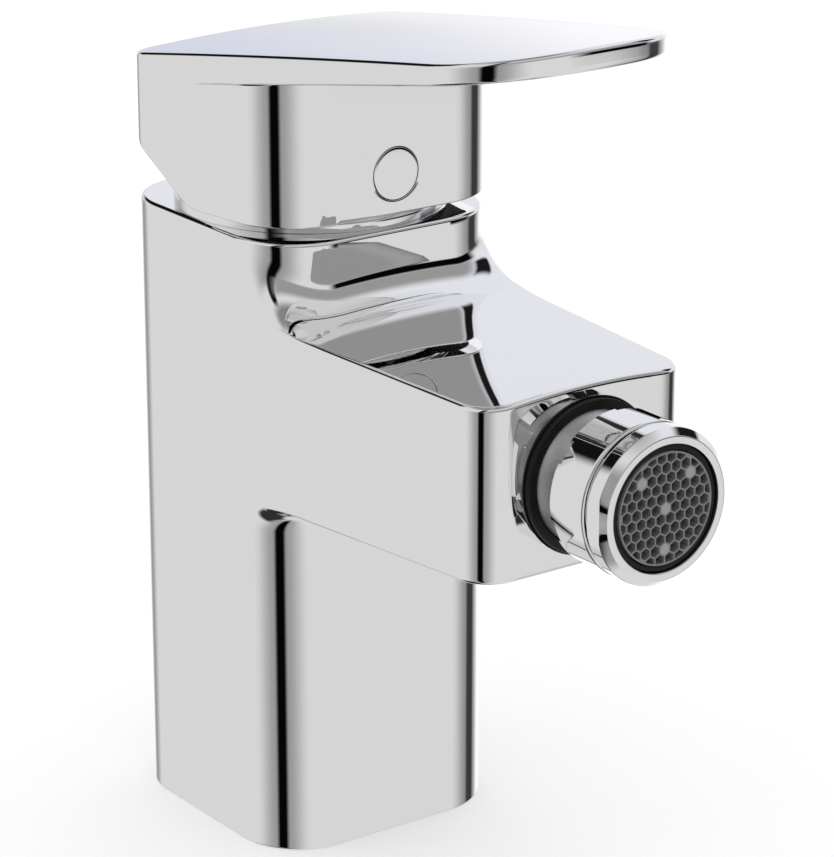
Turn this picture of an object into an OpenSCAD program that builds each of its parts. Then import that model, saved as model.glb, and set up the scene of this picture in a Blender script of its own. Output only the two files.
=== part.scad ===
// Single-lever bidet mixer with a square column, a flat lever and a ball-jointed aerator.
// Millimetres. +Z is up, the origin is the centre of the foot on the deck, the spout points along -Y.

/* [Column] */
// Width of the column from side to side
column_w = 45; // [44:0.5:50]
// Depth of the column from front to back
column_d = 46.4; // [45:0.2:52]
// Height of the column above the deck
column_h = 102; // [98:1:120]
// Radius of the column's upright corners
column_r = 11.5; // [8:0.5:13]
// Wall of the hollow foot
foot_wall = 4; // [3.5:0.25:5]
// Metal between the hollow foot and the cartridge's seat
floor_t = 20.5; // [18:0.5:24]
// Width of the deck seal's groove
deck_seal_w = 2; // [1.5:0.1:2.4]
// Depth of the deck seal's groove
deck_seal_h = 2.2; // [1.5:0.1:3]

/* [Spout] */
// Reach of the spout's front face from the column's axis
spout_reach = 72; // [68:1:90]
// Width of the spout at its front face
spout_tip_w = 38.6; // [36:0.2:43]
// Height of the spout at its sides
spout_h = 28; // [27:0.5:32]
// Rise of the spout's top from its sides to its middle
spout_crown = 1.3; // [0.5:0.1:2]
// Distance from the column's top down to the spout's side edges
spout_drop = 12.8; // [11:0.2:16]
// Radius of the spout's front corners
spout_r = 6.2; // [3:0.2:8]
// Radius of the fillets where the spout leaves the column
spout_fillet = 5; // [2:0.5:6]
// Radius of the water channel in the spout
channel_r = 4; // [3:0.25:4.25]

/* [Connections] */
// Radius of the tapped holes for the supply hoses
hose_r = 4.46; // [4:0.02:4.8]
// Depth of the tapped holes for the supply hoses
hose_depth = 12; // [9:0.5:14]
// Distance between the supply hoses
hose_gap = 17; // [16:0.5:18]
// Radius of the tapped hole for the fixing stud
stud_r = 3.32; // [2.5:0.02:3.5]
// Depth of the tapped hole for the fixing stud
stud_depth = 10; // [8:0.5:10.5]
// Distance of the fixing stud behind the column's axis
stud_back = 13.5; // [12.5:0.5:15]

/* [Cartridge] */
// Radius of the cartridge's casing
cartridge_r = 17; // [16.75:0.25:17.25]
// Wall of the cartridge's casing
casing_wall = 1.8; // [1.5:0.1:2]
// Thickness of the cartridge's base
base_t = 3.5; // [3:0.25:4.5]
// Thickness of each ceramic disc
disc_t = 3; // [2.5:0.25:3.5]
// Radius of the moving ceramic disc
disc_r = 12.4; // [11.8:0.1:12.4]
// Height of the carrier on the moving disc
carrier_h = 4.2; // [3.8:0.1:5]
// Radius of the inlet ports
inlet_r = 3; // [2.25:0.25:3]
// Radius of the outlet port
outlet_r = 4; // [3:0.25:4]
// Height of the threaded retaining nut
nut_h = 4; // [3:0.25:4.5]
// Width of the square spindle
spindle_w = 8; // [7:0.25:8.5]
// Length of the spindle above its pin
spindle_h = 25.2; // [22:0.2:26]
// Radius of the spindle's pin
pin_r = 1.75; // [1.25:0.05:2]
// Radius of the cover ring under the lever
cover_r = 21.8; // [20.8:0.1:21.9]
// Height of the cover ring above the column
cover_h = 2; // [1.8:0.05:2.1]

/* [Lever] */
// Width of the lever over the column's axis
lever_w = 49.2; // [48.5:0.1:54]
// Width of the lever's plate near its tip
lever_tip_w = 37.8; // [36:0.2:46]
// Reach of the lever's tip from the column's axis
lever_reach = 74.6; // [70:0.2:95]
// Distance of the lever's back behind the column's axis
lever_back = 13.7; // [13.5:0.1:17]
// Front of the lever's block, in front of the column's axis
block_front = 22.9; // [22.4:0.1:27]
// Height of the lever's top above the column's top, over the column's axis
lever_rise = 26.6; // [26:0.1:32]
// Rise of the lever's top towards its tip
lever_slope = 8.6; // [5:0.1:11]
// Thickness of the plate where it leaves the block
plate_root_t = 4.1; // [3.6:0.1:6]
// Thickness of the plate at its tip
plate_tip_t = 2.6; // [2:0.1:3.5]
// Gap between the column's top and the lever
lever_gap = 2.4; // [2.4:0.1:4]
// Wall of the hollow lever
lever_wall = 2.4; // [1.8:0.1:2.6]
// Radius of the lever's rear corners
lever_back_r = 4.2; // [4:0.2:8]
// Radius of the block's front corners
block_r = 11.4; // [8:0.2:12]
// Radius of the plate's tip corners
tip_r = 16.4; // [6:0.2:17]
// Radius of the wide arc across the plate's tip
tip_bow_r = 40; // [30:1:60]
// Radius of the index cap in the lever's front
cap_r = 4.3; // [3.6:0.1:4.6]
// Height of the index cap above the lever's lower edge
cap_rise = 6.55; // [5.6:0.05:7]

/* [Nozzle] */
// Depth of the nozzle's axis below the spout's side edges
nozzle_drop = 13.7; // [13.4:0.1:14.2]
// Radius of the threaded socket in the spout
socket_r = 12; // [11.5:0.1:12.2]
// Radius of the ball
ball_r = 11.4; // [10.8:0.1:11.5]
// Depth of the ball's centre behind the spout's face
ball_inset = 4; // [3.4:0.1:4.6]
// Gap from the spout's face to the nozzle's sleeve
sleeve_gap = 4.6; // [4.4:0.1:6]
// Radius of the nozzle's sleeve and of the aerator's housing
sleeve_r = 12; // [11.8:0.1:13]
// Length of the nozzle's sleeve
sleeve_l = 8.9; // [8.6:0.1:12]
// Length of the aerator's housing in front of the sleeve
housing_l = 4; // [3.8:0.1:6]
// Radius of the honeycomb insert
honeycomb_r = 8.6; // [8:0.1:8.7]
// Distance between the honeycomb's cells
cell_pitch = 1.8; // [1.7:0.01:2.4]
// Wall between the honeycomb's cells
cell_wall = 0.3; // [0.2:0.02:0.4]

/* [Hidden] */
$fn = 96;
// Clearances of parts that are fixed together, of parts that run in each other and of flat sliding faces
fixed_fit = 0.05;
running_fit = 0.1;
face_gap = 0.05;
// Corner circles stand out by this much, so that they cross the sides cleanly
blend = 0.01;

column_front = -column_d / 2;

// Cartridge levels, built up from its seat
neck_h = 3.4;
casing_top_t = 1.5;
rotor_h = 4.9;
mouth_gap = 0.8;
rotor_gap = 0.4;
casing_inner_r = cartridge_r - casing_wall;
casing_h = 2 * disc_t + face_gap + carrier_h + rotor_gap + rotor_h + 0.2 + casing_top_t;
cover_stack = base_t + casing_h + nut_h + mouth_gap;
seat_z = column_h - cover_stack;
foot_h = seat_z - floor_t;
fixed_disc_z = seat_z + base_t;
moving_disc_z = fixed_disc_z + disc_t + face_gap;
carrier_z = moving_disc_z + disc_t;
rotor_z = carrier_z + carrier_h + rotor_gap;
casing_top_z = fixed_disc_z + casing_h;
nut_z = casing_top_z;
cavity_r = cartridge_r + 0.25;
mouth_r = cartridge_r + 2;
mouth_z = casing_top_z - 0.3;

// Spindle: it turns on a pin through the rotor and its ball moves the disc carrier
hub_r = spindle_w / 2 + 0.3;
pivot_z = rotor_z + hub_r - 0.1;
finger_r = 2;
finger_ball_r = 2.2;
finger_l = 6;
neck_r = 11;
pin_l = 2 * (neck_r - 0.5);

// Ports: the inlets lie in front of the axis and the outlet behind it
inlet_y = -3;
outlet_y = 7.5;
seal_wall = 1.2;
seal_h = 1.5;
channel_z = seat_z - 1.5 - channel_r;
floor_split_y = (inlet_y + hose_r + stud_back - stud_r) / 2;

// Spout levels
spout_top = column_h - spout_drop;
spout_bottom = spout_top - spout_h;
taper_start = -column_d / 2 + 3.2;
crown_r = (pow(column_w / 2, 2) + pow(spout_crown, 2)) / (2 * spout_crown);
nozzle_z = spout_top - nozzle_drop;

// Nozzle stations, counted outwards along the nozzle's axis from the column's axis
ball_s = spout_reach - ball_inset;
ball_back_s = ball_s - 7.2;
socket_back_s = spout_reach - 15;
sleeve_s = spout_reach + sleeve_gap;
neck_end_s = sleeve_s + 3.9;
shoulder_s = neck_end_s + 1;
housing_s = sleeve_s + sleeve_l + 0.4;
nozzle_end_s = housing_s + housing_l;
neck_thread_r = 8;
ball_bore_r = 4.5;
spigot_r = sleeve_r - 1.2;
cup_wall = 1.05;
cup_r = honeycomb_r + fixed_fit + cup_wall;
seal_t = 0.85;
cup_s = shoulder_s + seal_t + 0.2;
cup_lip = 0.8;
cup_l = nozzle_end_s - 0.5 - cup_s;
regulator_t = 2.4;
// Seal and slip ring behind the ball
seat_seal_r = 8;
seat_seal_t = 2.4;
slip_ring_l = 3.6;
slip_bore_r = 6;

// Lever levels
lever_bottom = column_h + lever_gap;
lever_top = column_h + lever_rise;
roof_t = 4;
hub_boss_r = spindle_w / 2 + 3.5;
hub_gap = 6.5;
hub_bottom = column_h + hub_gap;
spindle_top = pivot_z + spindle_h;
cap_z = lever_bottom + cap_rise;
grub_r = 2.5;
grub_l = 8;
cap_t = 2;
undercut_start = -2;
undercut_slope = 31.6;
undercut_end = lever_bottom + (lever_back + 1 - undercut_start) * tan(undercut_slope);

// Centres of the arcs at the lever's tip: the corner arcs touch the sides and the wide arc
taper_k = (lever_w - lever_tip_w) / 2 / lever_reach;
bow_y = tip_bow_r - lever_reach;
tip_c = lever_w / 2 - tip_r * sqrt(1 + taper_k * taper_k);
tip_b = tip_c * taper_k - bow_y;
tip_q = tip_c * tip_c + bow_y * bow_y - pow(tip_bow_r - tip_r, 2);
tip_y = (-tip_b - sqrt(tip_b * tip_b - (1 + taper_k * taper_k) * tip_q)) / (1 + taper_k * taper_k);
tip_x = tip_c + taper_k * tip_y;
tip_side_y = tip_y - tip_r * sin(atan(taper_k));

// Height of the lever's top and half its width at a place y along the lever
function lever_z(y) = lever_top - y * tan(lever_slope);
function lever_half(y) = lever_w / 2 + y * taper_k;

// Plan with straight tapered sides and rounded corners; y runs from front to back.
// Where the back has no radius, the plan goes on straight behind it by the given run.
module taper_plan(front, back, half_front, half_back, r_front, r_back, run = 0) {
    a = atan((half_back - half_front) / (back - front));
    yf = front + r_front;
    yb = back - r_back;
    xf = half_front + (yf - front) * tan(a) - r_front / cos(a);
    xb = half_front + (yb - front) * tan(a) - r_back / cos(a);
    side_back = [xb + r_back * cos(a), yb - r_back * sin(a)];
    side_front = [xf + r_front * cos(a), yf - r_front * sin(a)];
    mirrored_polygon([[side_back.x, side_back.y + run], side_back, side_front]);
    if (r_front > 0 || r_back > 0)
        mirrored_polygon([[xb - (r_back > 0 ? 0 : 1), back], [xf - (r_front > 0 ? 0 : 1), front]]);
    for (side = [-1, 1]) {
        if (r_front > 0)
            translate([side * xf, yf]) circle(r_front + blend);
        if (r_back > 0)
            translate([side * xb, yb]) circle(r_back + blend);
    }
}

// Polygon made of the points of its right side and their mirror images
module mirrored_polygon(right) {
    n = len(right);
    distinct = [for (i = [0:n - 1]) if (i == 0 || norm(right[i] - right[max(i - 1, 0)]) > 0) right[i]];
    m = len(distinct);
    polygon(concat([for (i = [m - 1:-1:0]) distinct[i]], [for (p = distinct) [-p.x, p.y]]));
}

// Ring along Z
module ring(r_out, r_in, h) {
    difference() {
        cylinder(r = r_out, h = h);
        translate([0, 0, -1]) cylinder(r = r_in, h = h + 2);
    }
}

// Profile in the YZ plane, carried across the width w
module across(w) {
    translate([-w / 2, 0, 0]) rotate([90, 0, 90]) linear_extrude(w) children();
}

// Places children drawn along +Z onto the nozzle's axis, which runs along -Y
module on_nozzle(s = 0) {
    translate([0, -s, nozzle_z]) rotate([90, 0, 0]) children();
}

module column_plan(inset = 0) {
    half_w = column_w / 2 - inset;
    half_d = column_d / 2 - inset;
    taper_plan(-half_d, half_d, half_w, half_w, column_r - inset, column_r - inset);
}

module spout_plan() {
    taper_plan(-spout_reach, taper_start, spout_tip_w / 2, column_w / 2, spout_r, 0, column_r + 0.5);
}

// Quarter-round corner between the column's front and a level face, as a profile beside the column
module fillet_profile() {
    root = 0.6;
    difference() {
        translate([-root, -root]) square(spout_fillet + root);
        translate([spout_fillet, spout_fillet]) circle(spout_fillet);
    }
}

// The fillet follows the column's front and its rounded corners
module column_fillet() {
    straight = column_w - 2 * column_r;
    translate([-straight / 2, column_front, 0]) rotate([90, 0, 90]) linear_extrude(straight)
        mirror([1, 0]) fillet_profile();
    for (side = [0, 1]) mirror([side, 0, 0])
        translate([straight / 2, column_front + column_r, 0]) rotate([0, 0, -90])
            rotate_extrude(angle = 90) translate([column_r, 0]) fillet_profile();
}

module spout_solid() {
    intersection() {
        translate([0, 0, spout_bottom - 1]) linear_extrude(spout_h + spout_crown + 2) spout_plan();
        rotate([90, 0, 0]) linear_extrude(spout_reach + 1) intersection() {
            translate([-column_w / 2, spout_bottom]) square([column_w, spout_h + 5 * spout_crown]);
            translate([0, spout_top + spout_crown - crown_r]) circle(crown_r, $fn = 360);
        }
    }
    intersection() {
        translate([0, 0, spout_bottom - spout_fillet - 1])
            linear_extrude(spout_h + 2 * spout_fillet + spout_crown + 2) spout_plan();
        union() {
            translate([0, 0, spout_top]) column_fillet();
            translate([0, 0, spout_bottom]) mirror([0, 0, 1]) column_fillet();
        }
    }
}

module mixer_body() {
    color("gainsboro") difference() {
        union() {
            linear_extrude(column_h) column_plan();
            spout_solid();
        }
        // hollow foot, with the room of the floor's blocks above it, and the groove of the deck seal
        translate([0, 0, -1]) linear_extrude(seat_z + 1) column_plan(foot_wall);
        translate([0, 0, -1]) deck_groove(deck_seal_h + 1);
        // cartridge's bore and the threaded mouth above it
        translate([0, 0, seat_z - 1]) cylinder(r = cavity_r, h = column_h);
        translate([0, 0, mouth_z]) cylinder(r = mouth_r, h = column_h);
        water_channel();
        on_nozzle(socket_back_s) cylinder(r = socket_r, h = spout_reach);
    }
}

// From the outlet port to the spout's socket
module water_channel() {
    translate([0, outlet_y, channel_z]) cylinder(r = outlet_r, h = seat_z - channel_z + 1);
    translate([0, outlet_y, channel_z]) rotate([90, 0, 0])
        cylinder(r = channel_r, h = outlet_y + socket_back_s + 1);
}

// The casting's floor between the foot and the cartridge. It is one piece with the body,
// and stands as three blocks so that each of them has one tapped hole.
module floor_block(left, right, front, back) {
    color("gainsboro") difference() {
        intersection() {
            translate([0, 0, foot_h]) linear_extrude(floor_t) column_plan(foot_wall + fixed_fit);
            translate([left, front, foot_h - 1]) cube([right - left, back - front, floor_t + 2]);
        }
        for (side = [-1, 1]) translate([side * hose_gap / 2, inlet_y, foot_h - 1]) {
            cylinder(r = hose_r, h = hose_depth + 1);
            cylinder(r = inlet_r, h = floor_t + 2);
        }
        translate([0, stud_back, foot_h - 1]) cylinder(r = stud_r, h = stud_depth + 1);
        water_channel();
    }
}

module hot_floor() {
    floor_block(-column_w / 2, -face_gap / 2, -column_d / 2, floor_split_y - face_gap / 2);
}

module cold_floor() {
    floor_block(face_gap / 2, column_w / 2, -column_d / 2, floor_split_y - face_gap / 2);
}

module stud_floor() {
    floor_block(-column_w / 2, column_w / 2, floor_split_y + face_gap / 2, column_d / 2);
}

module deck_groove(h, slack = 0) {
    mid = foot_wall / 2;
    difference() {
        linear_extrude(h) column_plan(mid - deck_seal_w / 2 + slack);
        translate([0, 0, -1]) linear_extrude(h + 2) column_plan(mid + deck_seal_w / 2 - slack);
    }
}

module deck_seal() {
    color("dimgray") translate([0, 0, 0.2]) deck_groove(deck_seal_h - 0.2, fixed_fit);
}

// The three ports of the cartridge, each with its own radius
module at_ports() {
    for (side = [-1, 1]) translate([side * hose_gap / 2, inlet_y, 0]) {
        $port_r = inlet_r;
        children();
    }
    translate([0, outlet_y, 0]) {
        $port_r = outlet_r;
        children();
    }
}

module cartridge_seals() {
    color("dimgray") translate([0, 0, seat_z]) at_ports()
        ring($port_r + seal_wall, $port_r + fixed_fit, seal_h);
}

module cartridge_base() {
    color("white") difference() {
        translate([0, 0, seat_z]) cylinder(r = cartridge_r - 0.2, h = base_t);
        translate([0, 0, seat_z - 1]) at_ports() cylinder(r = $port_r, h = base_t + 2);
        translate([0, 0, seat_z - 1]) at_ports()
            cylinder(r = $port_r + seal_wall + fixed_fit, h = seal_h + 1);
    }
}

module fixed_disc() {
    color("ivory") difference() {
        translate([0, 0, fixed_disc_z]) cylinder(r = casing_inner_r - 0.3, h = disc_t);
        translate([0, 0, fixed_disc_z - 1]) at_ports() cylinder(r = $port_r, h = disc_t + 2);
    }
}

module cartridge_casing() {
    color("lightgray") difference() {
        translate([0, 0, fixed_disc_z]) cylinder(r = cartridge_r, h = casing_h);
        translate([0, 0, fixed_disc_z - 1]) cylinder(r = casing_inner_r, h = casing_h + 1 - casing_top_t);
        translate([0, 0, fixed_disc_z]) cylinder(r = neck_r + running_fit, h = casing_h + 1);
    }
}

module retaining_nut() {
    slot_w = 4;
    color("goldenrod") difference() {
        translate([0, 0, nut_z]) ring(mouth_r - fixed_fit, neck_r + 1.2, nut_h);
        for (a = [0:90:270]) rotate([0, 0, a])
            translate([mouth_r - 4, -slot_w / 2, nut_z + nut_h - 2]) cube([6, slot_w, 3]);
    }
}

// Bright ring that closes the column's mouth and shows under the lever
module cover_ring() {
    edge_r = 0.45 * cover_h;
    rim_in = cover_r - 4.5;
    dish_z = 1.4;
    hole_r = 10.5;
    spigot_z = -0.6;
    color("gainsboro") translate([0, 0, column_h]) rotate_extrude() {
        polygon([
            [hole_r, 0.2], [mouth_r - 1.6, 0.2], [mouth_r - 1.6, spigot_z], [mouth_r - fixed_fit, spigot_z],
            [mouth_r - fixed_fit, 0], [cover_r, 0], [cover_r, cover_h - edge_r], [cover_r - edge_r, cover_h],
            [rim_in, cover_h], [rim_in - 1.3, dish_z], [hole_r, dish_z]
        ]);
        translate([cover_r - edge_r, cover_h - edge_r]) circle(edge_r);
    }
}

// Rubber ring behind the ball's slip ring
module seat_seal() {
    color("dimgray") on_nozzle(socket_back_s) ring(socket_r - fixed_fit, seat_seal_r, seat_seal_t);
}

// Threaded ring that keeps the ball in the spout
module ball_retainer() {
    front_proud = 0.9;
    length = 6.4;
    color("black") difference() {
        on_nozzle(spout_reach + front_proud - length) cylinder(r = socket_r - fixed_fit, h = length);
        on_nozzle(ball_s) sphere(ball_r + running_fit);
    }
}

// Ring with a hollow seat that turns with the ball
module slip_ring() {
    back = socket_back_s + seat_seal_t + face_gap;
    color("whitesmoke") difference() {
        on_nozzle(back) cylinder(r = socket_r - running_fit, h = slip_ring_l);
        on_nozzle(ball_s) sphere(ball_r + running_fit);
        on_nozzle(back - 1) cylinder(r = slip_bore_r, h = slip_ring_l + 2);
    }
}

module swivel_ball() {
    color("darkgray") difference() {
        union() {
            intersection() {
                on_nozzle(ball_s) sphere(ball_r);
                on_nozzle(ball_back_s) cylinder(r = ball_r + 1, h = 3 * ball_r);
            }
            on_nozzle(ball_s) cylinder(r = neck_thread_r, h = neck_end_s - ball_s);
        }
        on_nozzle(ball_back_s - 1) cylinder(r = ball_bore_r, h = 3 * ball_r);
    }
}

// Sleeve on the ball's neck, with key notches round its rear edge
module nozzle_sleeve() {
    chamfer_r = 1.1;
    chamfer_l = 1.3;
    notch_w = 3.8;
    notch_l = 2;
    first_notch = 22;
    color("gainsboro") difference() {
        on_nozzle(sleeve_s) rotate_extrude() polygon([
            [neck_thread_r + fixed_fit, 0], [sleeve_r - chamfer_r, 0], [sleeve_r, chamfer_l],
            [sleeve_r, sleeve_l],
            [spigot_r + fixed_fit, sleeve_l], [spigot_r + fixed_fit, shoulder_s - sleeve_s],
            [neck_thread_r + fixed_fit, shoulder_s - sleeve_s]
        ]);
        for (i = [0:5]) on_nozzle(sleeve_s - 1) rotate([0, 0, first_notch + 60 * i])
            translate([sleeve_r - 2.4, -notch_w / 2, 0]) cube([4, notch_w, notch_l + 1]);
    }
}

module aerator_seal() {
    color("dimgray") on_nozzle(shoulder_s) ring(spigot_r, spigot_r - 3, seal_t);
}

// Perforated plate that keeps grit out of the aerator
module strainer() {
    hole_pitch = 1.6;
    plate_r = spigot_r - 3 - fixed_fit;
    color("silver") on_nozzle(shoulder_s + 0.15) linear_extrude(0.6) difference() {
        circle(plate_r);
        for (i = [-4:4], j = [-4:4]) {
            p = [(i + j / 2) * hole_pitch, j * hole_pitch * sin(60)];
            if (norm(p) < plate_r - 1) translate(p) circle(0.5, $fn = 16);
        }
    }
}

module aerator_cup() {
    color("black") on_nozzle(cup_s) difference() {
        cylinder(r = cup_r, h = cup_l);
        translate([0, 0, cup_lip]) cylinder(r = cup_r - cup_wall, h = cup_l);
        translate([0, 0, -1]) cylinder(r = cup_r - cup_wall - 1, h = cup_l);
    }
}

module flow_regulator() {
    hole_r = 0.9;
    color("whitesmoke") on_nozzle(cup_s + cup_lip) linear_extrude(regulator_t) difference() {
        circle(honeycomb_r);
        for (i = [0:11]) rotate(30 * i) translate([honeycomb_r - 2.6, 0]) circle(hole_r, $fn = 24);
    }
}

// Cells of the honeycomb on a triangular lattice; four of them stay filled
function cell_at(i, j) = [(i + (j % 2 == 0 ? 0 : 0.5)) * cell_pitch, j * cell_pitch * sin(60)];
function cell_filled(i, j) = (i == 0 && (j == 0 || j == -4)) || (j == 3 && (i == 2 || i == -3));

module honeycomb_insert() {
    insert_l = 2.8;
    rim = 0.45;
    cell_r = (cell_pitch - cell_wall) / sqrt(3);
    color("gray") on_nozzle(nozzle_end_s - 0.2 - insert_l) linear_extrude(insert_l) difference() {
        circle(honeycomb_r);
        for (j = [-6:6], i = [-6:6])
            if (norm(cell_at(i, j)) < honeycomb_r - rim - cell_r && !cell_filled(i, j))
                translate(cell_at(i, j)) rotate(30) circle(cell_r, $fn = 6);
    }
}

// Screwed end of the nozzle, with two key flats and a bevelled front edge
module aerator_housing() {
    bevel_r = 1.1;
    bevel_l = 1.2;
    flat_x = sleeve_r - 0.7;
    spigot_l = housing_s - cup_s;
    color("gainsboro") difference() {
        on_nozzle(housing_s) rotate_extrude() polygon([
            [cup_r + fixed_fit, -spigot_l], [spigot_r, -spigot_l], [spigot_r, 0], [sleeve_r, 0],
            [sleeve_r, housing_l - bevel_l], [sleeve_r - bevel_r, housing_l], [cup_r + fixed_fit, housing_l]
        ]);
        for (side = [0, 1]) mirror([side, 0, 0])
            on_nozzle(housing_s + 0.5) translate([flat_x, -sleeve_r, 0]) cube([4, 2 * sleeve_r, housing_l]);
    }
}

// Turning guide that carries the spindle's pin
module rotor() {
    slot_w = spindle_w + 2 * running_fit;
    slot_back = 7;
    slot_front = hub_r + 0.3;
    color("whitesmoke") difference() {
        union() {
            translate([0, 0, rotor_z]) cylinder(r = casing_inner_r - running_fit, h = rotor_h);
            translate([0, 0, rotor_z]) cylinder(r = neck_r, h = rotor_h + neck_h);
        }
        translate([-slot_w / 2, -slot_front, rotor_z - 1]) cube([slot_w, slot_front + slot_back, 30]);
        translate([-30, 0, pivot_z]) rotate([0, 90, 0]) cylinder(r = pin_r, h = 60);
    }
}

module spindle_pin() {
    color("silver") translate([-pin_l / 2, 0, pivot_z]) rotate([0, 90, 0])
        cylinder(r = pin_r - fixed_fit, h = pin_l);
}

// Upper ceramic disc: the pocket in its lower face joins the ports as it slides
module moving_disc() {
    pocket_front = inlet_y + inlet_r + 0.2;
    color("ivory") difference() {
        translate([0, 0, moving_disc_z]) cylinder(r = disc_r, h = disc_t);
        translate([0, 0, moving_disc_z - 1]) linear_extrude(disc_t / 2 + 1) intersection() {
            circle(disc_r - 1.2);
            translate([-disc_r, pocket_front]) square(2 * disc_r);
        }
    }
}

module disc_carrier() {
    slot_w = 2 * finger_ball_r + 0.3;
    slot_front = finger_ball_r + 0.3;
    slot_back = finger_ball_r + 1.3;
    color("lightsteelblue") difference() {
        translate([0, 0, carrier_z]) cylinder(r = disc_r, h = carrier_h);
        translate([-slot_w / 2, -slot_front, carrier_z - 1])
            cube([slot_w, slot_front + slot_back, carrier_h + 2]);
    }
}

module spindle() {
    color("darkgoldenrod") difference() {
        union() {
            translate([-spindle_w / 2, 0, pivot_z]) rotate([0, 90, 0]) cylinder(r = hub_r, h = spindle_w);
            translate([-spindle_w / 2, -spindle_w / 2, pivot_z]) cube([spindle_w, spindle_w, spindle_h]);
            translate([0, 0, pivot_z - finger_l]) cylinder(r = finger_r, h = finger_l);
            translate([0, 0, pivot_z - finger_l]) sphere(finger_ball_r);
        }
        translate([-20, 0, pivot_z]) rotate([0, 90, 0]) cylinder(r = pin_r, h = 40);
    }
}

// Plan of the lever's plate: its tip is a wide arc that runs into the corner arcs
module plate_plan() {
    taper_plan(tip_side_y, lever_back, lever_half(tip_side_y), lever_half(lever_back), 0, lever_back_r);
    for (side = [-1, 1])
        translate([side * tip_x, tip_y]) circle(tip_r + blend);
    intersection() {
        translate([0, bow_y]) circle(tip_bow_r);
        mirrored_polygon([[1, bow_y], [2 * tip_x, bow_y + 2 * (tip_y - bow_y)]]);
    }
}

// Plan of the lever's block, drawn in by a wall where it is given
module block_plan(inset = 0) {
    taper_plan(
        -block_front + inset, lever_back - inset, lever_half(-block_front) - inset,
        lever_half(lever_back) - inset, block_r - inset, lever_back_r - inset
    );
}

// Corners that are cut from the block below the plate, one on each side
module block_corner_cuts() {
    a = atan(taper_k);
    yf = -block_front + block_r;
    xf = lever_half(yf) - block_r / cos(a);
    for (side = [0, 1]) mirror([side, 0]) difference() {
        translate([xf, -block_front - 1]) square([block_r + 5, block_r * (1 - sin(a)) + 1]);
        translate([xf, yf]) circle(block_r + blend);
    }
}

module lever_outside() {
    tall = lever_top + 40;
    under_root = lever_z(-block_front) - plate_root_t;
    under_tip = lever_z(-lever_reach) - plate_tip_t;
    under_slope = (under_tip - under_root) / (lever_reach - block_front);
    difference() {
        intersection() {
            linear_extrude(tall) plate_plan();
            across(2 * lever_w) polygon([
                [lever_back + 1, lever_z(lever_back + 1)], [-lever_reach - 1, lever_z(-lever_reach - 1)],
                [-lever_reach - 1, under_tip + under_slope], [-block_front, under_root],
                [-block_front, lever_bottom], [undercut_start, lever_bottom], [lever_back + 1, undercut_end]
            ]);
        }
        intersection() {
            linear_extrude(tall) block_corner_cuts();
            across(2 * lever_w) polygon([
                [-block_front - 2, lever_bottom - 1], [0, lever_bottom - 1],
                [0, under_root - under_slope * block_front], [-block_front, under_root],
                [-block_front - 2, under_root - 1]
            ]);
        }
    }
}

module lever_hollow() {
    intersection() {
        linear_extrude(lever_top + 40) block_plan(lever_wall);
        across(2 * lever_w) polygon([
            [lever_back, lever_z(lever_back) - roof_t], [-block_front, lever_z(-block_front) - roof_t],
            [-block_front, lever_bottom - 1], [lever_back, lever_bottom - 1]
        ]);
    }
}

module lever_handle() {
    socket_w = spindle_w + 2 * fixed_fit;
    color("gainsboro") difference() {
        union() {
            difference() {
                lever_outside();
                lever_hollow();
            }
            translate([0, 0, hub_bottom]) cylinder(r = hub_boss_r, h = lever_top - roof_t + 1 - hub_bottom);
            translate([0, -spindle_w / 2, cap_z]) rotate([90, 0, 0])
                cylinder(r = cap_r + 0.1, h = block_front - lever_wall / 2 - spindle_w / 2);
        }
        translate([-socket_w / 2, -socket_w / 2, hub_bottom - 5])
            cube([socket_w, socket_w, spindle_top + 0.2 - hub_bottom + 5]);
        translate([0, 0, cap_z]) rotate([90, 0, 0]) cylinder(r = grub_r, h = block_front + 1);
        translate([0, -block_front + cap_t, cap_z]) rotate([90, 0, 0])
            cylinder(r = cap_r + fixed_fit, h = cap_t + 1);
    }
}

module grub_screw() {
    key_r = 1.4;
    color("darkslategray") difference() {
        translate([0, -spindle_w / 2, cap_z]) rotate([90, 0, 0]) cylinder(r = grub_r - fixed_fit, h = grub_l);
        translate([0, 3 - grub_l - spindle_w / 2, cap_z]) rotate([90, 0, 0])
            cylinder(r = key_r, h = 4, $fn = 6);
    }
}

module index_cap() {
    stem_l = 5;
    color("gainsboro") {
        translate([0, -block_front + cap_t, cap_z]) rotate([90, 0, 0]) cylinder(r = cap_r, h = cap_t);
        translate([0, -block_front + cap_t + stem_l, cap_z]) rotate([90, 0, 0])
            cylinder(r = grub_r - fixed_fit, h = stem_l + cap_t / 2);
    }
}

mixer_body();
hot_floor();
cold_floor();
stud_floor();
deck_seal();
cartridge_seals();
cartridge_base();
fixed_disc();
cartridge_casing();
retaining_nut();
cover_ring();
seat_seal();
ball_retainer();
rotor();
spindle_pin();
moving_disc();
disc_carrier();
spindle();
lever_handle();
grub_screw();
index_cap();
slip_ring();
swivel_ball();
nozzle_sleeve();
aerator_seal();
strainer();
aerator_cup();
flow_regulator();
honeycomb_insert();
aerator_housing();
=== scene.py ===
"""Dresses the bidet mixer's CAD frame: polished skins, nozzle pieces, finishes, stage and camera."""
import math
from types import SimpleNamespace

import bmesh
import bpy
import numpy as np
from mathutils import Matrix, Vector
from mathutils.geometry import delaunay_2d_cdt


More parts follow.
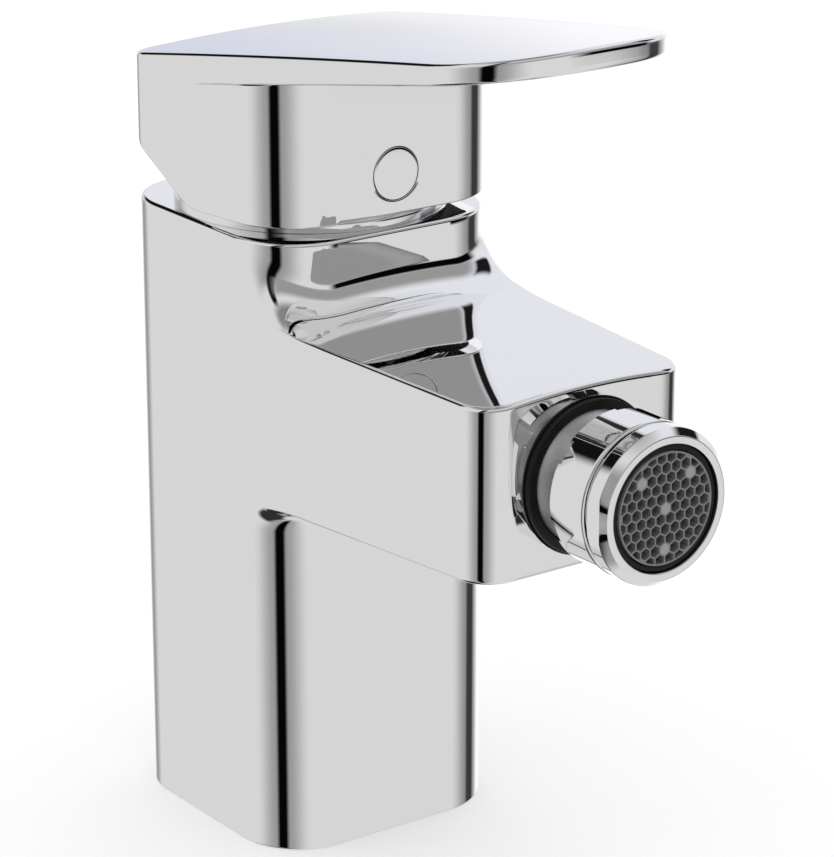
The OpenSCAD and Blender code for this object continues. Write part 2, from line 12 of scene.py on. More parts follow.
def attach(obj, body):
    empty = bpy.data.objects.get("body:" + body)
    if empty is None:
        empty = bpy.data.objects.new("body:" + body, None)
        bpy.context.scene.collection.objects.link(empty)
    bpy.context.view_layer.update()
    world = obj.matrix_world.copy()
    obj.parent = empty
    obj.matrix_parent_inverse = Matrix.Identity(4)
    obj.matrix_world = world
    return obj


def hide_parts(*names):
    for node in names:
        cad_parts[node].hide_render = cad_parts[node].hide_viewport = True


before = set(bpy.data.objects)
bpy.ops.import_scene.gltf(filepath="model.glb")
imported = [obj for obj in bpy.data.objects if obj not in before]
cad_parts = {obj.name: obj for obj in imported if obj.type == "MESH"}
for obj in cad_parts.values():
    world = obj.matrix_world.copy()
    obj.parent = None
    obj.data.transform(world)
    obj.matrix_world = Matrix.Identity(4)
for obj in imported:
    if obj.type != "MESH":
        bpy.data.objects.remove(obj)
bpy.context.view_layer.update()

bl_info = {
    "name": "Bidet mixer",
    "version": (1, 0, 0),
    "blender": (4, 5, 0),
    "location": "View3D > Sidebar > Mixer",
    "description": "Builds the visible skins of a single-lever bidet mixer over its CAD frame",
    "category": "Object",
}

MM = 0.001


def length(name, description, value):
    """A size in metres, given here in millimetres."""
    return bpy.props.FloatProperty(name=name, description=description, default=value * MM, unit="LENGTH",
                                   precision=5)


def ratio(name, description, value, subtype="FACTOR"):
    """A share of a length, or an angle."""
    return bpy.props.FloatProperty(name=name, description=description, default=value, subtype=subtype)


def tint(name, description, value):
    return bpy.props.FloatVectorProperty(name=name, description=description, default=value, size=3,
                                         subtype="COLOR", min=0, max=1)


class MixerSizes(bpy.types.PropertyGroup):
    """Sizes of the visible pieces; the frame's own sizes are the defaults."""

    column_w: length("Column width", "Width of the column from side to side", 45)
    column_d: length("Column depth", "Depth of the column from front to back", 46.4)
    column_h: length("Column height", "Height of the column above the deck", 102)
    column_r: length("Column corner", "Radius of the column's upright corners", 11.5)
    foot_wall: length("Foot wall", "Wall of the hollow foot", 4)
    foot_h: length("Foot height", "Height of the hollow foot's ceiling", 55.95)
    spout_reach: length("Spout reach", "Distance of the spout's face from the column's axis", 72)
    spout_tip_w: length("Spout tip width", "Width of the spout at its face", 38.6)
    spout_top: length("Spout top", "Height of the spout's side edges at the column", 89.5)
    spout_fall: length("Spout fall", "Fall of the spout's side edges from the column to its face", 0.9)
    spout_crown: length("Spout crown", "Rise of the spout's top from its edges to its middle", 1.3)
    spout_bottom: length("Spout bottom", "Height of the spout's underside", 61.5)
    spout_r: length("Spout corner", "Radius of the spout's front corners", 6.2)
    spout_fillet: length("Spout fillet", "Radius of the hollow fillets at the column", 5)
    spout_sag: length("Spout sag", "Fall of the spout's underside from its face to the column", 1.5)
    fillet_reach: length("Fillet reach", "Growth of the fillets' reach towards the sides", 10)
    fillet_rise: length("Fillet rise", "Growth of the upper fillet's height towards the sides", 6.5)
    spout_edge: length("Spout edge", "Radius of the spout's long edges", 0.9)
    column_edge: length("Column edge", "Radius of the column's top edge", 0.7)
    lever_w: length("Lever width", "Width of the lever over the column's axis", 49.2)
    lever_reach: length("Lever reach", "Distance of the lever's tip from the column's axis", 74.6)
    lever_back: length("Lever back", "Distance of the lever's back behind the column's axis", 13.7)
    lever_top: length("Lever top", "Height of the lever's top edges over the column's axis", 128.6)
    lever_bottom: length("Lever bottom", "Height of the lever's lower edge", 104.4)
    lever_crown: length("Lever crown", "Rise of the lever's top from its edges to its middle", 0.9)
    lever_bow: length("Lever bow", "Rise of the lever's top halfway along it", 0.4)
    block_front: length("Block front", "Distance of the lever's front wall from the column's axis", 23.5)
    block_taper: ratio("Block taper", "Change of the block's half width per length", 0.165)
    block_r: length("Block corner", "Radius of the block's front corners", 11.4)
    lever_back_r: length("Lever rear corner", "Radius of the lever's rear corners", 4.2)
    tip_r: length("Tip corner", "Radius of the plate's tip corners", 16.4)
    tip_bow_r: length("Tip bow", "Radius of the wide arc across the plate's tip", 40)
    plate_root_t: length("Plate root", "Thickness of the plate at the block", 4.1)
    plate_tip_t: length("Plate tip", "Thickness of the plate at its tip", 2.6)
    plate_fillet: length("Plate fillet", "Radius of the fillet under the plate", 0.8)
    lever_edge: length("Lever edge", "Radius of the lever's upper edges", 0.65)
    lever_wall: length("Lever wall", "Wall of the hollow lever", 2.4)
    lever_roof: length("Lever roof", "Metal above the lever's hollow", 4)
    cap_r: length("Cap radius", "Radius of the index cap", 4.3)
    cap_z: length("Cap height", "Height of the index cap's middle", 110.95)
    nozzle_z: length("Nozzle height", "Height of the nozzle's axis", 75.5)
    socket_r: length("Socket radius", "Radius of the socket in the spout's face", 12)
    ball_r: length("Ball radius", "Radius of the nozzle's ball", 11.4)
    ball_s: length("Ball place", "Distance of the ball's middle from the column's axis", 68)
    sleeve_r: length("Sleeve radius", "Radius of the nozzle's sleeve and housing", 12)
    cover_r: length("Cover radius", "Radius of the cover ring under the lever", 21.8)
    cover_h: length("Cover height", "Height of the cover ring above the column", 2)
    lever_slope: ratio("Lever slope", "Rise of the lever's top to its tip", math.radians(8.6), "ANGLE")
    lever_taper: ratio("Lever taper", "Change of the lever's half width per length", 0.0764)


class MixerColours(bpy.types.PropertyGroup):
    """Base colours of the finishes."""

    chrome: tint("Chrome", "Polished plating", (0.9, 0.9, 0.9))
    casting: tint("Dull casting", "Unpolished inside of the lever", (0.10, 0.10, 0.105))
    # The ball's grey: a satin finish, and darker than the chrome as painted shade of its recess between the
    # ring and the sleeve
    satin_and_shade: tint("Satin metal with painted shade", "Blasted plating on the ball", (0.58, 0.58, 0.59))
    black: tint("Black plastic", "Retaining ring and aerator cup", (0.006, 0.006, 0.0065))
    grey: tint("Grey plastic", "Honeycomb insert", (0.20, 0.20, 0.205))
    pale: tint("Pale grey plastic", "Filled cells of the honeycomb", (0.33, 0.33, 0.335))
    brass: tint("Brass", "Bare brass of the nut", (0.62, 0.45, 0.20))
    steel: tint("Steel", "Screws, pin and spindle", (0.55, 0.55, 0.56))
    plastic: tint("Cartridge plastic", "Casing, base and rotor", (0.52, 0.52, 0.50))
    ceramic: tint("Ceramic", "Sealing discs", (0.74, 0.72, 0.68))
    rubber: tint("Rubber", "Seals", (0.03, 0.03, 0.03))
    floor: tint("Floor", "Pale floor under the mixer", (0.86, 0.86, 0.86))


def sizes():
    """The sizes in millimetres, with the angle and the tapers as they are."""
    group = bpy.context.scene.mixer_sizes
    keys = MixerSizes.__annotations__.keys()
    plain = ("lever_slope", "lever_taper", "block_taper")
    return SimpleNamespace(**{k: getattr(group, k) / (1 if k in plain else MM) for k in keys})


# Lines and surfaces, in millimetres

def hollow(d, r):
    """Height of a hollow fillet of radius r at a distance d from its wall: r less the root of
    r² - (r - d)², and 0 past r."""
    g = np.clip(r - d, 0, r)
    return r - np.sqrt(r * r - g * g)


def ease(t):
    """Smooth step 3t² - 2t³ between 0 and 1."""
    t = np.clip(t, 0, 1)
    return t * t * (3 - 2 * t)


def quarter(steps):
    """Angles of a quarter turn in even steps, with both ends."""
    return np.radians(np.linspace(0, 90, steps + 1))


def full_turn(n):
    """n even angles with the first again at the end."""
    t = np.arange(n + 1) % n
    return t * (2 * math.pi / n)


def soft_edge(e, steps):
    """Quarter round of radius e from wall to face as (inset, depth) pairs: e·(1 - cos t), e·(1 - sin t)."""
    t = quarter(steps)
    return e * np.stack([1 - np.cos(t), 1 - np.sin(t)], -1)


def unit(angle):
    """Directions of angles."""
    return np.stack([np.cos(angle), np.sin(angle)], -1)


def on_arc(centre, r, start, end, n):
    """n points of a circle from a start to before an end, in degrees, with their outward directions."""
    d = unit(np.radians(np.linspace(start, end, n, endpoint=False)))
    return np.asarray(centre) + r * d, d


def on_line(p, q, n, last=False):
    """n even steps from p to q; the end point only with last."""
    t = np.linspace(0, 1, n + last, endpoint=last)[:, None]
    return np.asarray(p) + (np.asarray(q) - np.asarray(p)) * t


def both_sides(half):
    """Left-to-right line from its right half, which runs from the side to the middle."""
    return np.concatenate([half * [-1, 1], half[-2::-1]])


def lifted(plan, z):
    """Plan points with their heights."""
    z = np.broadcast_to(z, plan.shape[:-1])
    return np.concatenate([plan, z[..., None]], -1)


def ruled(inner, outer, gap, stops, extra):
    """Plan rows on the straight lines between two curves: first where the distance from the inner curve has
    the given values, found by halving, and then evenly on to the outer curve."""
    halvings, close = 42, 1e-9
    end = gap(outer)
    want = np.minimum(np.asarray(stops)[:, None], end)
    low, high = np.zeros_like(want), np.ones_like(want)
    for _ in range(halvings):
        mid = (low + high) / 2
        short = gap(inner + (outer - inner) * mid[..., None]) < want
        low, high = np.where(short, mid, low), np.where(short, high, mid)
    v = np.where(want >= end - close, 1, high)
    v[0] = 0
    rest = v[-1] + (1 - v[-1]) * np.linspace(0, 1, extra + 1)[1:, None]
    v = np.concatenate([v, rest])[..., None]
    return inner * (1 - v) + outer * v


def rounded_edge(border, outward, z, e, up, steps=6):
    """Quarter round from a face's border: outwards by e·sin t, and down (up = 1) or up (up = -1) by
    e·(1 - cos t)."""
    t = quarter(steps)[:, None]
    plan = border + outward * (e * np.sin(t))[..., None]
    return lifted(plan, z - up * e * (1 - np.cos(t)))


def wall(plan, low, high, rows):
    """Upright wall over a plan line: even rows from the low to the high border."""
    t = np.linspace(0, 1, rows + 1)[:, None]
    return lifted(np.broadcast_to(plan, (rows + 1,) + plan.shape), low + (high - low) * t)


def carried(line, outward, profile):
    """Profile of (inset, height) pairs carried round a closed plan line, moved in against its outward
    direction."""
    inset, z = np.asarray(profile, float).T[:, :, None]
    return closed(lifted(line - outward * inset[..., None], z))


def closed(grid):
    """A grid whose first column comes again at its end."""
    return np.concatenate([grid, grid[:, :1]], 1)


def joined(front, rear):
    """Closed plan line of a front line and of a rear line between the same ends."""
    return np.concatenate([front, rear[1:-1]])


def rounded(points, radii, steps=5):
    """Open profile whose corners are arcs of the given radii, tangent to both sides; a radius of 0 leaves the
    corner as it is."""
    points = np.asarray(points, float)
    out = [points[:1]]
    for i, r in enumerate(radii, 1):
        p, a, b = points[i], points[i - 1] - points[i], points[i + 1] - points[i]
        a, b = a / np.linalg.norm(a), b / np.linalg.norm(b)
        if r == 0:
            out.append(p[None])
            continue
        half = math.acos(np.clip(a @ b, -1, 1)) / 2
        sweep = math.pi - 2 * half
        middle = p + (a + b) / np.linalg.norm(a + b) * r / math.sin(half)
        u, w = p + a * r / math.tan(half) - middle, p + b * r / math.tan(half) - middle
        t = np.linspace(0, 1, steps + 1)[:, None] * sweep
        out.append(middle + (u * np.sin(sweep - t) + w * np.sin(t)) / math.sin(sweep))
    return np.concatenate(out + [points[-1:]])


def turned(profile, angles, z=None):
    """Profile of (radius, place) turned about an axis. Without z the axis is the column's and place is a
    height; with z it is the nozzle's axis at that height and place is the distance along -Y. Radii may differ
    by angle."""
    profile = np.asarray(profile, float)
    if profile.ndim == 2:
        profile = np.broadcast_to(profile[:, None], (len(profile), len(angles), 2))
    r, s = profile[..., 0], profile[..., 1]
    c, d = r * np.cos(angles), r * np.sin(angles)
    return np.stack([c, d, s] if z is None else [c, -s, z + d], -1)


class Skin:
    """Grids of points that are welded into one mesh; kind is the material of the faces that follow."""

    def __init__(self):
        self.points, self.faces, self.kinds, self.count, self.kind = [], [], [], 0, 0

    def add(self, points, faces):
        self.faces.append(faces + self.count)
        self.points.append(points)
        self.kinds.append(np.full(len(faces), self.kind))
        self.count += len(points)

    def grid(self, *grids):
        for p in grids:
            i = np.arange(p.shape[0] * p.shape[1]).reshape(p.shape[:2])
            faces = np.stack([i[:-1, :-1], i[:-1, 1:], i[1:, 1:], i[1:, :-1]], -1)
            self.add(p.reshape(-1, 3), faces.reshape(-1, 4))
        return self

    def flat(self, outline, holes, in_hole, raised):
        """Flat face inside an outline and round its holes, cut into triangles; raised gives it its place."""
        loops = [outline, *holes]
        flat = np.concatenate(loops)
        starts = np.cumsum([0] + [len(x) for x in loops])
        edges = np.concatenate([np.stack([np.arange(a, b), np.roll(np.arange(a, b), -1)], -1)
                                for a, b in zip(starts, starts[1:])])
        corners = [Vector(p) for p in flat.tolist()]
        inside, close = 1, 1e-6
        points, _, faces = delaunay_2d_cdt(corners, edges.tolist(), [], inside, close)[:3]
        points, faces = np.array([p[:] for p in points]), np.array(faces)
        faces = faces[~in_hole(points[faces].mean(1))]
        self.add(raised(points), faces[:, [0, 1, 2, 2]])
        return self

    def mesh(self, name, sharp=40):
        """Welds points within half a micrometre, drops faces without area and turns all faces outwards. The
        welding grid is shifted, so that round sizes don't lie on the border of two cells."""
        weld, shift = 5e-4, 0.137
        points, faces = np.concatenate(self.points), np.concatenate(self.faces)
        cells = np.round(points / weld + shift).astype(np.int64)
        _, first, same = np.unique(cells, axis=0, return_index=True, return_inverse=True)
        faces = same.reshape(-1)[faces]
        double = faces == np.roll(faces, -1, 1)
        crossed = (faces[:, 0] == faces[:, 2]) | (faces[:, 1] == faces[:, 3])
        keep = (double.sum(1) < 2) & (~crossed | double.any(1))
        faces, double, kinds = faces[keep], double[keep], np.concatenate(self.kinds)[keep]
        loops = faces[~double]
        sides = 4 - double.sum(1)
        mesh = bpy.data.meshes.new(name)
        mesh.vertices.add(len(first))
        mesh.vertices.foreach_set("co", (points[first] * MM).astype(np.float32).ravel())
        mesh.loops.add(len(loops))
        mesh.loops.foreach_set("vertex_index", loops.astype(np.int32))
        mesh.polygons.add(len(sides))
        mesh.polygons.foreach_set("loop_start", (np.cumsum(sides) - sides).astype(np.int32))
        mesh.polygons.foreach_set("material_index", kinds.astype(np.int32))
        mesh.update(calc_edges=True)
        mesh.validate()
        work = bmesh.new()
        work.from_mesh(mesh)
        bmesh.ops.recalc_face_normals(work, faces=work.faces[:])
        work.to_mesh(mesh)
        work.free()
        mesh.shade_smooth()
        mesh.set_sharp_from_angle(angle=math.radians(sharp))
        return mesh


def place(skin, name, body, finishes, nodes, sharp=40):
    """Makes the skin an object that rides on a body and stands for its CAD nodes."""
    piece = bpy.data.objects.new(name, skin.mesh(name, sharp))
    bpy.context.scene.collection.objects.link(piece)
    for kind in finishes:
        piece.data.materials.append(finish(kind))
    shade = piece.modifiers.new("Even shading", "WEIGHTED_NORMAL")
    shade.keep_sharp = True
    shade.weight = 50
    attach(piece, body)
    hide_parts(*nodes)
    return piece


# Body

def front_gap(p, half, corner, r, lean):
    """Distance of plan points from a front with round corners: a corner's middle is (±half, corner), and the
    sides beyond it lean by an angle."""
    x, y = np.abs(p[..., 0]) - half, corner - p[..., 1]
    beside = x * math.cos(lean) + y * math.sin(lean)
    return np.where(x < 0, y, np.where(y < x * math.tan(lean), beside, np.hypot(x, y))) - r


def ahead(p, half, corner, r):
    """How far plan points lie before a front with round corners, measured along -Y."""
    x = np.clip(np.abs(p[..., 0]) - half, 0, r)
    return corner - np.sqrt(r * r - x * x) - p[..., 1]


def holed_wall(skin, line, low, high, i, rows, radius, z, depth, lip):
    """Upright wall over a plan line, flat between the points i from either end, with a round hole there:
    straight rows from the hole's circle, where the direction from its middle is the same, to the flat's
    rectangular border; then the hole's soft lip, its wall and its floor."""
    last = len(line) - 1 - i
    for part in (slice(i + 1), slice(last, None)):
        skin.grid(wall(line[part], low[part], high[part], rows))
    flat = slice(i, last + 1)
    across, y, low, high = line[flat, 0], line[i, 1], low[flat], high[flat]
    left, right = np.full(rows + 1, across[0]), np.full(rows + 1, across[-1])
    side_l, side_r = np.linspace(low[0], high[0], rows + 1), np.linspace(low[-1], high[-1], rows + 1)
    x = np.concatenate([across[:-1], right[:-1], across[:0:-1], left[:0:-1]])
    h = np.concatenate([low[:-1], side_r[:-1], high[:0:-1], side_l[:0:-1]])
    ring = unit(np.arctan2(h - z, x))
    border = np.stack([x, h - z], -1)
    t = np.linspace(0, 1, 9)[:, None, None]
    flat = ring * (radius + lip) * (1 - t) + border * t
    face = np.stack([flat[..., 0], np.full(flat.shape[:2], y), flat[..., 1] + z], -1)
    soft = [radius, 0] + soft_edge(lip, 5)[:, ::-1]
    r, inwards = np.concatenate([soft, [[radius, depth], [0, depth]]]).T[:, :, None]
    well = np.stack([r * ring[:, 0], np.broadcast_to(y + inwards, (len(r), len(x))), r * ring[:, 1] + z], -1)
    skin.grid(closed(face), closed(well))


def body_skin(s):
    """Column, spout and hollow foot. In plan, the column's front line C and the spout's line S leave the same
    side points T. The spout's top and underside are height fields on the straight lines between C and S:
    side edge + crown + hollow fillet of the way ahead of C. Upright walls stand on C, S and the rear line."""
    a, b, r = s.column_w / 2, s.column_d / 2, s.column_r
    cx, cy = a - r, r - b
    rs, reach = s.spout_r, s.spout_reach
    # the spout's sides leave the column a little behind its front and bend into their taper
    set_back, bend = 3.2, 8
    start = b - set_back
    k = (a - s.spout_tip_w / 2) / (reach - start - bend / 2)

    def side(y):
        """Half width of the spout: straight taper with a parabolic start."""
        d = np.clip(-y - start, 0, None)
        return a - k * np.where(d < bend, d * d / (2 * bend), d - bend / 2)

    yc = rs - reach
    xc = side(np.array(yc)) - rs * math.hypot(1, k)
    lean = math.degrees(math.atan(k))
    y_end = yc - rs * math.sin(math.radians(lean))
    # steps along the side, round the corner, over half the front, up a wall and along the top
    n1, n2, n3, n_wall, n_top = 48, 16, 20, 24, 24
    last = math.atan((cy - y_end) / r)
    angle = np.linspace(0, last, n1, endpoint=False)
    y = cy - r * np.tan(angle)
    slope = k * np.clip((-y - start) / bend, 0, 1)
    tilt = np.hypot(1, slope)
    arc_s, arc_n = on_arc((xc, yc), rs, -lean, -90, n2)
    s_half = np.concatenate([np.stack([side(y), y], -1), arc_s, on_line((xc, -reach), (0, -reach), n3, True)])
    front = np.tile([0.0, -1.0], (n3 + 1, 1))
    n_half = np.concatenate([np.stack([1 / tilt, -slope / tilt], -1), arc_n, front])
    angle = np.concatenate([angle, np.linspace(last, math.pi / 2, n2, endpoint=False)])
    c_dir = unit(-angle)
    c_half = np.concatenate([np.array([cx, cy]) + r * c_dir, on_line((cx, -b), (0, -b), n3, True)])
    c_line, s_line = both_sides(c_half), both_sides(s_half)
    c_out, s_out = both_sides(np.concatenate([c_dir, front])), both_sides(n_half)

    def spread(p):
        """Share of the way from the corner's middle to the side, squared: the fillets grow with it."""
        return np.clip((np.abs(p[..., 0]) - cx) / r, 0, 1) ** 2

    def gap(p, growth=s.fillet_reach):
        return ahead(p, cx, cy, r) / (s.spout_fillet + growth * spread(p))

    def gap_under(p):
        return gap(p, s.fillet_reach / 2)

    def top(p):
        x, y = p[..., 0], p[..., 1]
        edge = s.spout_top + s.spout_fall * (y + b) / (reach - b)
        crown = s.spout_crown * (1 - np.clip(x / side(y), -1, 1) ** 2)
        return edge + crown + (s.spout_fillet + s.fillet_rise * spread(p)) * hollow(gap(p), 1)

    def under(p):
        fall = s.spout_sag * (p[..., 1] + reach) / (reach - b)
        return s.spout_bottom - fall - s.spout_fillet * hollow(gap_under(p), 1)

    skin = Skin()
    bends = 1 - np.cos(quarter(20))
    # the long edges' rounds start within the fillet, both measured in fillets
    fade_from, fade_over = 0.6, 0.8
    ends = []
    for height, way, up in ((top, gap, 1), (under, gap_under, -1)):
        edge = s.spout_edge * ease((way(s_line) - fade_from) / fade_over)
        s_in = s_line - s_out * edge[:, None]
        plan = ruled(c_line, s_in, way, bends, n_top)
        skin.grid(lifted(plan, height(plan)), rounded_edge(s_in, s_out, height(s_in), edge, up))
        ends.append(height(s_in) - up * edge)
    high, low = ends
    socket_depth, socket_lip = 15, 0.3
    holed_wall(skin, s_line, low, high, n1 + n2, n_wall, s.socket_r, s.nozzle_z, socket_depth, socket_lip)
    # the column's walls below and above the spout, and behind it at the same heights
    sole, head = 0.3, s.column_h - s.column_edge
    n_low, n_high, n_arc, n_flat = 10, 6, 24, 8
    lower = wall(c_line, sole, under(c_line), n_low)
    upper = wall(c_line, top(c_line), head, n_high)
    rear_arc, rear_dir = on_arc((cx, -cy), r, 0, 90, n_arc)
    rear_half = np.concatenate([on_line((a, cy), (a, -cy), n_flat), rear_arc,
                                on_line((cx, b), (0, b), n_flat, True)])
    rear_out = np.concatenate([np.tile([1.0, 0.0], (n_flat, 1)), rear_dir,
                               np.tile([0.0, 1.0], (n_flat + 1, 1))])
    rear, rear_n = both_sides(rear_half)[::-1], both_sides(rear_out)[::-1]
    levels = np.concatenate([lower[:, 0, 2], np.linspace(low[0], high[0], n_wall + 1)[1:], upper[1:, 0, 2]])
    skin.grid(lower, upper, lifted(np.broadcast_to(rear, (len(levels),) + rear.shape), levels[:, None]))
    line, out = joined(c_line, rear), joined(c_out, rear_n)
    column_top(skin, s, line, out)
    hollow_foot(skin, s, line, out, sole)
    return skin


def column_top(skin, s, line, out):
    """The column's soft top edge, its flat top and the cartridge's bore."""
    skin.grid(carried(line, out, [0, s.column_h] + soft_edge(s.column_edge, 6) * [1, -1]))
    ring = line - out * s.column_edge
    circle = unit(np.arctan2(ring[:, 1], ring[:, 0]))
    mouth_r, mouth_z, bore_r, bore_z = 19, 96.9, 17.25, 76.45
    t = np.linspace(0, 1, 7)[:, None, None]
    skin.grid(closed(lifted(ring * (1 - t) + circle * mouth_r * t, s.column_h)))
    bore = np.array([[mouth_r, s.column_h], [mouth_r, mouth_z], [bore_r, mouth_z], [bore_r, bore_z],
                     [0, bore_z]])
    skin.grid(closed(lifted(circle * bore[:, :1, None], bore[:, 1:])))


def hollow_foot(skin, s, line, out, sole):
    """Foot: soft outer edge, groove of the seal, soft inner edge and the hollow up to its ceiling."""
    soft = soft_edge(sole, 4)
    mid, w, z = s.foot_wall / 2, s.foot_wall, s.foot_h
    groove, groove_h = 1, 2.2
    profile = np.concatenate([soft, [[mid - groove, 0], [mid - groove, groove_h], [mid + groove, groove_h]],
                              [[mid + groove, 0]], [w, 0] + soft[::-1] * [-1, 1], [[w, z]]])
    skin.grid(carried(line, out, profile))
    # the two inlets and the stud's hole in the ceiling: radius, depth and places
    inlet, stud = (4.46, 12), (3.32, 10)
    wells = ((-8.5, -3, *inlet), (8.5, -3, *inlet), (0, 13.5, *stud))
    loops = []
    for x, y, radius, depth in wells:
        well = turned([[radius, z], [radius, z + depth], [0, z + depth]], full_turn(40)) + [x, y, 0]
        skin.grid(well)
        loops.append(well[0, :-1, :2])

    def in_well(p):
        return np.any([np.hypot(p[:, 0] - x, p[:, 1] - y) < radius for x, y, radius, _ in wells], 0)

    skin.flat(line - out * w, loops, in_well, lambda p: lifted(p, z))


# Lever

def lever_skin(s):
    """Block and plate of the lever. In plan, the block's front line B and the plate's line L leave the same
    side points T. The top's height = edge line rising to the tip + crown + bow; the plate's underside is the
    edge line less the plate's thickness and less the hollow fillet of the distance from B. The lower border
    follows the undercut at the back. Inside is a hollow with an even wall and a flat roof."""
    k, back = s.lever_taper, s.lever_back
    rise = math.tan(s.lever_slope)
    tilt = math.hypot(1, k)
    lean = math.degrees(math.atan(k))

    def half(y):
        return s.lever_w / 2 + k * y

    def edge_z(y):
        return s.lever_top - rise * y

    def top(p):
        x, y = p[..., 0], p[..., 1]
        along = (2 * y + s.lever_reach - back) / (s.lever_reach + back)
        crown = s.lever_crown * (1 - np.clip(x / half(y), -1, 1) ** 2)
        return edge_z(y) + crown + s.lever_bow * (1 - along ** 2)

    def low(y):
        """Lower border: level, then an arc, then a straight rise of the undercut's angle."""
        undercut, r, corner = math.radians(31.6), 10, -2
        d = y - corner + r * math.tan(undercut / 2)
        arc = r - np.sqrt(np.clip(r * r - d * d, 0, None))
        straight = (y - corner) * math.tan(undercut)
        return s.lever_bottom + np.where(d < 0, 0, np.where(d < r * math.sin(undercut), arc, straight))

    # the block's line leaves the lever's side at y_side and narrows by its own taper
    rb, bf, kb, y_side = s.block_r, s.block_front, s.block_taper, -3
    yb = rb - bf
    xb = half(y_side) + kb * (yb - y_side) - rb * math.hypot(1, kb)
    # steps along the block's side, along the plate's, round a corner and over half the front
    n0, n1, n2, n3 = 10, 40, 20, 20
    # block's side and front, right half from the side point to the middle; straight lines join the corner's
    # arc, between its first and last angle, to the plate's side
    first, last = math.atan(kb), math.radians(78)
    angle = np.linspace(first, last, n1, endpoint=False)
    whole = np.concatenate([angle, np.linspace(last, math.pi / 2, n2, endpoint=False)])
    b_dir = unit(-whole)
    front = np.tile([0.0, -1.0], (n3 + 1, 1))
    b_arc = np.array([xb, yb]) + rb * b_dir
    b_half = np.concatenate([on_line((half(y_side), y_side), b_arc[0], n0), b_arc,
                             on_line((xb, -bf), (0, -bf), n3, True)])
    b_out = np.concatenate([np.tile(b_dir[0], (n0, 1)), b_dir, front])
    # plate's sides, tip corners and bow
    bow_y = s.tip_bow_r - s.lever_reach
    c = s.lever_w / 2 - s.tip_r * tilt
    q, m = c * k - bow_y, c * c + bow_y ** 2 - (s.tip_bow_r - s.tip_r) ** 2
    ty = (-q - math.sqrt(q * q - tilt * tilt * m)) / (tilt * tilt)
    tip = np.array([c + k * ty, ty])
    meet = math.degrees(math.atan2(ty - bow_y, tip[0]))
    y_from, y_to = b_arc[0, 1], ty - s.tip_r * k / tilt
    y = y_from + (y_to - y_from) * (np.tan(angle) - math.tan(first)) / (math.tan(last) - math.tan(first))
    y = np.concatenate([b_half[:n0, 1], y])
    n1 += n0
    corner, corner_n = on_arc(tip, s.tip_r, -lean, meet, n2)
    bow, bow_n = on_arc((0, bow_y), s.tip_bow_r, meet, -90, n3)
    side_n = np.tile([1 / tilt, -k / tilt], (n1, 1))
    l_half = np.concatenate([np.stack([half(y), y], -1), corner, bow, [[0, -s.lever_reach]]])
    l_out = np.concatenate([side_n, corner_n, bow_n, [[0, -1]]])
    # rear line, right half from the side point to the middle of the back
    rr = s.lever_back_r
    yr = back - rr
    xr = half(yr) - rr * tilt
    n_side, n_arc = 24, 16
    arc, arc_n = on_arc((xr, yr), rr, -lean, 90, n_arc)
    r_half = np.concatenate([on_line(b_half[0], arc[0], n_side), arc,
                             on_line((xr, back), (0, back), n3, True)])
    r_out = np.concatenate([side_n[:n_side], arc_n, np.tile([0.0, 1.0], (n3 + 1, 1))])
    b_line, l_line, rear = both_sides(b_half), both_sides(l_half), both_sides(r_half)[::-1]
    b_n, l_n, rear_n = both_sides(b_out), both_sides(l_out), both_sides(r_out)[::-1]

    def gap(p):
        return front_gap(p, xb, yb, rb, first)

    def under(p):
        y = p[..., 1]
        along = np.clip((-y - bf) / (s.lever_reach - bf), 0, 1)
        thickness = s.plate_root_t + (s.plate_tip_t - s.plate_root_t) * along
        return edge_z(y) - thickness - hollow(gap(p), s.plate_fillet)

    def right_border(half_line, half_out, inset):
        """Right border of a face set in from a front line and the rear line, from the front to the back."""
        points = np.concatenate([half_line[:n1 + n2 + 1][::-1], r_half[1:n_side + n_arc + 1]])
        outward = np.concatenate([half_out[:n1 + n2 + 1][::-1], r_out[1:n_side + n_arc + 1]])
        return points - outward * inset

    skin = Skin()
    # plate's underside and its soft lower edge, which starts where the plate leaves the block
    plate_edge, fade_over, n_under = 0.8, 4, 24
    soft = plate_edge * ease(gap(l_line) / fade_over)
    l_in = l_line - l_n * soft[:, None]
    bends = s.plate_fillet * (1 - np.cos(quarter(10)))
    plan = ruled(b_line, l_in, gap, bends, n_under)
    z_under = under(l_in)
    skin.grid(lifted(plan, under(plan)), rounded_edge(l_in, l_n, z_under, soft, -1))
    # top face: rows from the right border to the left, bowed like the tip and straight further back
    e, straight_y = s.lever_edge, -40
    right = right_border(l_half, l_out, e)
    across = np.linspace(-1, 1, 2 * n3 + 1)
    tip_row = (l_line - l_n * e)[n1 + n2:n1 + n2 + 2 * n3 + 1]
    fade = ease((right[:, 1] - straight_y) / (right[0, 1] - straight_y))[:, None]
    x = right[:, :1] * (across * (1 - fade) + tip_row[:, 0] / tip_row[-1, 0] * fade)
    yy = right[:, 1:] + (tip_row[:, 1] - tip_row[0, 1]) * fade
    face = np.stack([x, yy], -1)
    skin.grid(lifted(face, top(face)))
